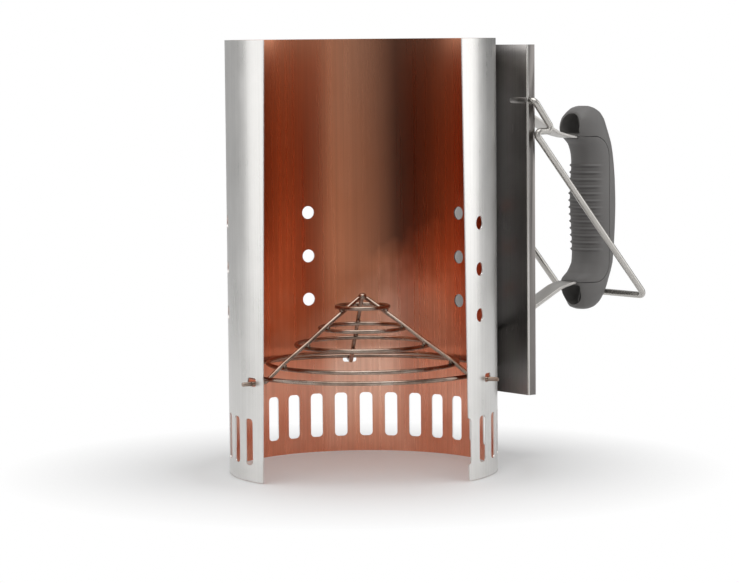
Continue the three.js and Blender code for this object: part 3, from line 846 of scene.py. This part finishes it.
def bracket_outline(z):
    """A bracket's hat-shaped section: two feet along the wall, two sides and the web at the shield."""
    foot_radius = SHELL_RADIUS + JOINT_GAP + BRACKET_SHEET / 2
    half = BRACKET_HALF
    web = shield_face() - JOINT_GAP - BRACKET_SHEET / 2
    inner = math.asin(half / foot_radius)
    outer = inner + 13 * MM / foot_radius
    foot = [at_angle(foot_radius, -(outer + (inner - outer) * k / 6), 0) for k in range(7)]
    mirrored = [Vector((p.x, -p.y, 0)) for p in reversed(foot)]
    corners = foot + [Vector((web, -half, 0)), Vector((web, half, 0))] + mirrored
    bends = [0.2 * MM] * 5 + [2 * MM, 2.2 * MM, 2.2 * MM, 2 * MM] + [0.2 * MM] * 5
    line = fillet(corners, bends, 15)
    return [Vector((p.x, p.y, z)) for p in offset_outline(line, BRACKET_SHEET)]


def make_brackets():
    for node in ("lower_bracket", "upper_bracket"):
        bottom = local_box(node)[0].z
        rise = Vector((0, 0, BRACKET_HEIGHT))
        bracket = extrude_outline(f"{node}_plate", bracket_outline(bottom), rise)
        bevel(bracket, 0.25 * MM, 2, 50)
        shade(bracket, 30)
        fit(bracket, BRACKET_STEEL, replaces=[node])
        for side in (-1, 1):
            for share in (0.25, 0.75):
                name = f"{node}_weld_{side + 2}_{round(share * 100)}"
                height = bottom + share * BRACKET_HEIGHT
                face = SHELL_RADIUS + JOINT_GAP + BRACKET_SHEET
                spot_weld(name, face, side * FOOT_WELD_ANGLE, height)


def rivet_profile(clamp):
    """A rivet's outline, with its dome past the plates that it clamps together."""
    dome = [(4.0 * math.cos(a), clamp / MM + 1.7 * math.sin(a)) for a in (0, 0.35, 0.7, 1.05, 1.35)]
    points = [(0, -1.3), (2.6, -1.3), (3.2, -0.9), (3.3, 0), (2.0, 0), (2.0, clamp / MM), *dome]
    points.append((0, clamp / MM + 1.7))
    return [(r * MM, a * MM) for r, a in points]


def make_rivets():
    for number in range(1, 5):
        low, high = local_box(f"strap_rivet_{number}")
        centre = (low + high) / 2
        start = Vector((low.x + 1.36 * MM, 0, centre.z))
        clamp = high.x - low.x - 3.06 * MM
        rivet = lathe(f"shield_rivet_{number}", rivet_profile(clamp), Vector((1, 0, 0)), start)
        shade(rivet, 40)
        fit(rivet, FASTENER_STEEL, replaces=[f"strap_rivet_{number}"])


# ---------------------------------------------------------------- strap and grip

# Where the strap runs inside the grip, in millimetres.
GRIP_CORE_X = 224.2
STRAP_UPPER_Z = 231
STRAP_LOWER_Z = 122
PARTING_GAP = 0.25 * MM  # from the parting line to each half of the grip


def strap_path():
    """The strap's centre line, from its lower foot through the grip to its upper foot."""
    low, high = local_box("handle_strap")
    foot_x = low.x / MM + 1.2
    corners = [
        (foot_x, low.z / MM), (foot_x, 88.3), (184, 119.9), (196, STRAP_LOWER_Z),
        (GRIP_CORE_X, STRAP_LOWER_Z), (GRIP_CORE_X, STRAP_UPPER_Z), (194, STRAP_UPPER_Z),
        (181, 234), (foot_x, 265.3), (foot_x, high.z / MM),
    ]
    points = [Vector((x * MM, 0, z * MM)) for x, z in corners]
    return fillet(points, [r * MM for r in (6, 36, 36, 30, 26, 36, 36, 6)], 5)


def make_strap():
    section = rounded_section(2.4 * MM, 16 * MM, 0.7 * MM)
    strap = sweep("handle_strap_strip", strap_path(), section, Vector((0, 1, 0)))
    shade(strap, 50)
    fit(strap, STRAP_STEEL, replaces=["handle_strap"])


# Height, inner X and outer X along the grip, in millimetres.
GRIP_STATIONS = [
    (101.3, 205.5, 211), (103, 201.5, 217), (107, 199.5, 221.5), (114, 195.4, 226.4),
    (119, 194, 229.4), (124, 194.5, 231.4), (129, 200.5, 233), (136, 205, 234.8),
    (150, 205.4, 236.4), (166, 204.2, 237.7), (181, 203.2, 238.3), (198, 203.8, 237.6),
    (209, 205, 236.4), (218, 204.4, 235.1), (225, 201.6, 233.8), (230, 196.2, 232.4),
    (237, 192.4, 229.8), (244, 194.8, 226.6), (249, 199.6, 222.8), (252, 204, 218),
    (253.5, 209, 213.5),
]


def smooth_between(values, t):
    """A Catmull-Rom value at position t of a list."""
    i = min(int(t), len(values) - 2)
    f = t - i
    p0 = values[max(i - 1, 0)]
    p1, p2 = values[i], values[i + 1]
    p3 = values[min(i + 2, len(values) - 1)]
    return 0.5 * (
        2 * p1 + (p2 - p0) * f + (2 * p0 - 5 * p1 + 4 * p2 - p3) * f * f
        + (3 * p1 - p0 - 3 * p2 + p3) * f ** 3
    )


def grip_body(name):
    """The grip's whole moulded body, with finger ribs on its inner face."""
    sides, steps = 72, 380
    heights, inners, outers = zip(*GRIP_STATIONS)
    rows = []
    for step in range(steps + 1):
        z = heights[0] + (heights[-1] - heights[0]) * step / steps
        i = max(k for k in range(len(heights) - 1) if heights[k] <= z)
        t = i + (z - heights[i]) / (heights[i + 1] - heights[i])
        inner, outer = smooth_between(inners, t), smooth_between(outers, t)
        centre, depth = (inner + outer) / 2, (outer - inner) / 2
        to_end = min(z - heights[0], heights[-1] - z)
        width = 15 * (0.3 + 0.7 * math.sqrt(1 - max(0.0, 1 - to_end / 14) ** 2))
        rib = 0.5 + 0.5 * math.cos(2 * math.pi * (z - RIB_FIRST_Z) / RIB_PITCH)
        in_ribs = RIB_FIRST_Z - 2.6 < z < RIB_FIRST_Z + RIB_PITCH * (RIB_COUNT - 1) + 2.6
        ridge = RIB_HEIGHT * rib ** 4 if in_ribs else 0.0
        row = []
        for k in range(sides):
            angle = 2 * math.pi * k / sides
            c, s = math.cos(angle), math.sin(angle)
            x = centre + depth * math.copysign(abs(c) ** 0.88, c)
            y = width * math.copysign(abs(s) ** 0.88, s)
            raised_by = ridge * smooth_step(-c, 0.1, 0.55)
            x -= raised_by * max(-c, 0.0)
            y += raised_by * s
            row.append(Vector((x * MM, y * MM, z * MM)))
        rows.append(row)
    return loft(name, rows)


def smooth_step(value, low, high):
    t = min(max((value - low) / (high - low), 0.0), 1.0)
    return t * t * (3 - 2 * t)


def parting_prism(margin, palm):
    """A prism that holds one side of the grip's parting line: the palm's or the fingers'."""
    inside = [p for p in strap_path() if p.x > 190 * MM]
    middle = Vector(((GRIP_CORE_X - 30) * MM, 0, (STRAP_LOWER_Z + STRAP_UPPER_Z) / 2 * MM))
    moved = []
    for i, p in enumerate(inside):
        before = inside[max(i - 1, 0)]
        after = inside[min(i + 1, len(inside) - 1)]
        along = (after - before).normalized()
        outward = Vector((along.z, 0, -along.x))
        if outward.dot(p - middle) < 0:
            outward.negate()
        moved.append(p + outward * margin)
    near, far, low, high = (v * MM for v in (150, 300, 60, 300))
    outline = [Vector((near, 0, moved[0].z)), *moved, Vector((near, 0, moved[-1].z))]
    if palm:
        outline += [Vector((x, 0, z)) for x, z in ((near, high), (far, high), (far, low), (near, low))]
    shift = Vector((0, -30 * MM, 0))
    return extrude_outline("parting", [p + shift for p in outline], Vector((0, 60 * MM, 0)))


def strap_channel():
    """The cutter for the room that the strap takes up inside the grip."""
    section = rounded_section(3.0 * MM, 16.6 * MM, 0.4 * MM, 2)
    return sweep("channel", strap_path(), section, Vector((0, 1, 0)))


def hood_pocket(strap_z, side):
    """The hollow in a hood of the palm half: flat along the strap and arched on the far side."""
    flat = strap_z + side * 2.0
    arch = [(10.6 * math.cos(a), 5 + 10.4 * math.sin(a)) for a in (math.pi * k / 18 for k in range(19))]
    outline = [(-9.8, 0.0), (9.8, 0.0), (10.6, 0.9), *arch, (-10.6, 0.9)]
    rows = []
    for x, size in ((178, 1.0), (200, 1.0), (208, 0.94), (213, 0.80), (216, 0.55)):
        row = [Vector((x * MM, a * size * MM, (flat + side * b * size) * MM)) for a, b in outline]
        rows.append(row)
    return loft("pocket", rows)


def hood_front(strap_z, side):
    """Everything in front of a hood's open face, which leans back towards its top."""
    edge = strap_z + side * 1.2
    corners = [(165, edge), (196.6, edge), (201, edge + side * 20), (203, edge + side * 26)]
    corners.append((165, edge + side * 26))
    outline = [Vector((x * MM, -30 * MM, z * MM)) for x, z in corners]
    return extrude_outline("hood_front", outline, Vector((0, 60 * MM, 0)))


def pocket_rib(strap_z, side):
    """A thin moulded rib that crosses a hood's hollow."""
    flat = strap_z + side * 2.2
    corners = [(209, flat + side), (214, flat + side), (214, flat + side * 13), (206, flat + side * 13)]
    outline = [Vector((x * MM, -0.5 * MM, z * MM)) for x, z in corners]
    return extrude_outline("pocket_rib", outline, Vector((0, 1.0 * MM, 0)))


def make_grip():
    finger = grip_body("grip_finger_shell")
    boolean(finger, parting_prism(-PARTING_GAP, palm=True), "DIFFERENCE")
    boolean(finger, strap_channel(), "DIFFERENCE")
    bevel(finger, 0.35 * MM, 2, 48)
    shade(finger, 50)
    fit(finger, GRIP_PLASTIC, replaces=["grip_finger_half"])

    palm = grip_body("grip_palm_shell")
    boolean(palm, parting_prism(PARTING_GAP, palm=False), "DIFFERENCE")
    boolean(palm, strap_channel(), "DIFFERENCE")
    for strap_z, side in ((STRAP_UPPER_Z, 1), (STRAP_LOWER_Z, -1)):
        boolean(palm, hood_front(strap_z, side), "DIFFERENCE")
        boolean(palm, hood_pocket(strap_z, side), "DIFFERENCE")
        boolean(palm, pocket_rib(strap_z, side), "UNION")
    for number in (1, 2):
        low, high = local_box(f"grip_screw_{number}")
        boolean(palm, counterbore(high.x - 3 * MM, (low.z + high.z) / 2), "DIFFERENCE")
    bevel(palm, 0.35 * MM, 2, 48)
    shade(palm, 50)
    fit(palm, GRIP_PLASTIC, replaces=["grip_palm_half"])


def counterbore(start, z):
    """The round hole in the grip's palm side that a screw's head sits in."""
    profile = [(0, 0), (3.8 * MM, 0), (3.8 * MM, 20 * MM), (0, 20 * MM)]
    return lathe("bore", profile, Vector((1, 0, 0)), Vector((start, 0, z)))


def make_screws():
    """Cross-head screws sunk in the palm side of the grip."""
    for number in (1, 2):
        low, high = local_box(f"grip_screw_{number}")
        z = (low.z + high.z) / 2
        head = 2.6
        length = (high.x - low.x) / MM
        points = [(0, 0), (2.2, 0.05), (3.1, 0.5), (3.5, 1.2), (3.5, head), (1.8, head), (1.8, length)]
        profile = [(r * MM, a * MM) for r, a in points] + [(0, length * MM)]
        screw = lathe(f"grip_screw_pan_{number}", profile, Vector((-1, 0, 0)), Vector((high.x, 0, z)))
        for wide, tall in ((3.6 * MM, 0.8 * MM), (0.8 * MM, 3.6 * MM)):
            section = rounded_section(wide, tall, 0.2 * MM)
            slot = [Vector((high.x - 1.2 * MM, a, z + b)) for a, b in section]
            boolean(screw, extrude_outline("slot", slot, Vector((2.2 * MM, 0, 0))), "DIFFERENCE")
        shade(screw, 35)
        fit(screw, FASTENER_STEEL, replaces=[f"grip_screw_{number}"])


# ---------------------------------------------------------------- bail

def make_bail():
    """The wire bail: its ends in the shield, a cranked leg on each side, and the bar below."""
    low, high = local_box("bail_handle")
    half = (high.y - low.y) / 2 - BAIL_WIRE
    bar = Vector((high.x - BAIL_WIRE, 0, low.z + BAIL_WIRE))
    corners = [
        Vector((PIVOT.x, PIN_END, PIVOT.z)),
        Vector((PIVOT.x, half, PIVOT.z)),
        Vector((138.8 * MM, half, 237.7 * MM)),
        Vector((120.9 * MM, half, 237.7 * MM)),
        Vector((bar.x, half, bar.z)),
    ]
    mirrored = [Vector((p.x, -p.y, p.z)) for p in reversed(corners)]
    bends = [r * MM for r in (3.4, 2.7, 2.7, 6, 6, 2.7, 2.7, 3.4)]
    path = fillet(corners + mirrored, bends, 8)
    bail = wire("bail_wire", path, BAIL_WIRE, Vector((0, 0, 1)), 28)
    shade(bail, 60)
    fit(bail, WIRE_STEEL, body="bail", replaces=["bail_handle"])


# ---------------------------------------------------------------- stage, lights and camera

CAMERA_BEARING = math.radians(-128)
CAMERA_DISTANCE = 2.08
CAMERA_HEIGHT = 0.308
CAMERA_LENS = 143.6  # millimetres


def camera_frame():
    """Directions towards the camera, to its right, and up."""
    towards = at_angle(1, CAMERA_BEARING, 0)
    return towards, Vector((-towards.y, towards.x, 0)), Vector((0, 0, 1))


def make_camera():
    towards, right, up = camera_frame()
    data = bpy.data.cameras.new("camera")
    data.sensor_width = 36
    data.lens = CAMERA_LENS
    data.clip_start = 0.05
    camera = bpy.data.objects.new("camera", data)
    bpy.context.scene.collection.objects.link(camera)
    camera.location = AXIS + towards * CAMERA_DISTANCE + up * CAMERA_HEIGHT
    aside = math.radians(0.14)
    pitch = math.radians(4.98)
    roll = math.radians(-0.5)
    forward = -towards * math.cos(aside) + right * math.sin(aside)
    heading = math.atan2(forward.y, forward.x) - math.pi / 2
    turn = Matrix.Rotation(heading, 3, "Z") @ Matrix.Rotation(math.pi / 2 - pitch, 3, "X")
    camera.rotation_euler = (turn @ Matrix.Rotation(roll, 3, "Z")).to_euler()
    bpy.context.scene.camera = camera


def around(azimuth):
    """A level direction, at an angle round the starter from the camera's side to its right."""
    towards, right, _ = camera_frame()
    turn = math.radians(azimuth)
    return towards * math.cos(turn) + right * math.sin(turn)


def softbox(name, azimuth, distance, height, aim_height, size, radiance):
    """A rectangular light facing the starter's axis."""
    data = bpy.data.lights.new(name, "AREA")
    data.shape = "RECTANGLE"
    data.size, data.size_y = size
    data.energy = radiance * math.pi * size[0] * size[1]
    light = bpy.data.objects.new(name, data)
    bpy.context.scene.collection.objects.link(light)
    light.location = AXIS + around(azimuth) * distance + Vector((0, 0, height))
    aim = AXIS + Vector((0, 0, aim_height)) - light.location
    light.rotation_euler = aim.to_track_quat("-Z", "Y").to_euler()


def make_lights():
    softbox("left_softbox", -95, 1.6, 0.75, 0.75, (0.85, 1.8), 0.95)
    softbox("right_softbox", 99, 1.6, 0.75, 0.75, (0.85, 1.8), 1.18)
    softbox("top_softbox", 0, 0.2, 1.9, 0.15, (1.8, 1.8), 1.9)
    softbox("front_softbox", -20, 2.6, 1.5, 0.15, (1.2, 1.0), 1.2)


def make_stage():
    """A pale floor that turns to plain white away from the starter where the camera sees it."""
    size = 6.0
    corners = [(-size, -size), (size, -size), (size, size), (-size, size)]
    mesh = mesh_from("floor", [Vector((x, y, -0.0005)) for x, y in corners], [(0, 1, 2, 3)])
    floor = make_object("floor", mesh)
    material, shader = new_material("pale_floor", Roughness=0.6)
    shader.inputs["Base Color"].default_value = (0.88, 0.88, 0.88, 1)
    tree = material.node_tree
    where = add_node(material, "ShaderNodeTexCoord").outputs["Object"]
    distance = add_node(material, "ShaderNodeVectorMath", {"operation": "LENGTH"}, in_0=where)
    far = remap(material, distance.outputs["Value"], 0.12, 0.26, 0.0, 1.0)
    seen = add_node(material, "ShaderNodeLightPath").outputs["Is Camera Ray"]
    share = maths(material, "MULTIPLY", far, seen)
    white = add_node(material, "ShaderNodeEmission", Strength=1.0)
    blend = tree.nodes.new("ShaderNodeMixShader")
    tree.links.new(share, blend.inputs[0])
    tree.links.new(shader.outputs[0], blend.inputs[1])
    tree.links.new(white.outputs[0], blend.inputs[2])
    output = tree.nodes["Material Output"]
    tree.links.new(blend.outputs[0], output.inputs["Surface"])
    mesh.materials.append(material)


def make_world():
    """White where the camera looks past the starter. For everything else a soft grey studio,
    darker at the right behind the starter."""
    world = bpy.data.worlds.new("studio")
    world.use_nodes = True
    bpy.context.scene.world = world
    tree = world.node_tree
    tree.nodes.clear()
    direction = add_node(world, "ShaderNodeTexCoord").outputs["Generated"]
    flag = add_node(world, "ShaderNodeVectorMath", {"operation": "DOT_PRODUCT"},
                    in_0=direction, in_1=around(152))
    grey = remap(world, flag.outputs["Value"], 0.78, 0.97, 0.43, 0.2)
    lit = add_node(world, "ShaderNodeBackground", Color=grey)
    seen = add_node(world, "ShaderNodeBackground", Color=(1, 1, 1, 1))
    path = add_node(world, "ShaderNodeLightPath").outputs["Is Camera Ray"]
    mix = add_node(world, "ShaderNodeMixShader", in_0=path)
    output = add_node(world, "ShaderNodeOutputWorld")
    tree.links.new(lit.outputs[0], mix.inputs[1])
    tree.links.new(seen.outputs[0], mix.inputs[2])
    tree.links.new(mix.outputs[0], output.inputs["Surface"])


make_camera()
make_lights()
make_stage()
make_world()
make_shell()
make_grate()
make_shield()
make_brackets()
make_rivets()
make_strap()
make_grip()
make_screws()
make_bail()
bpy.context.scene.view_settings.view_transform = "Standard"
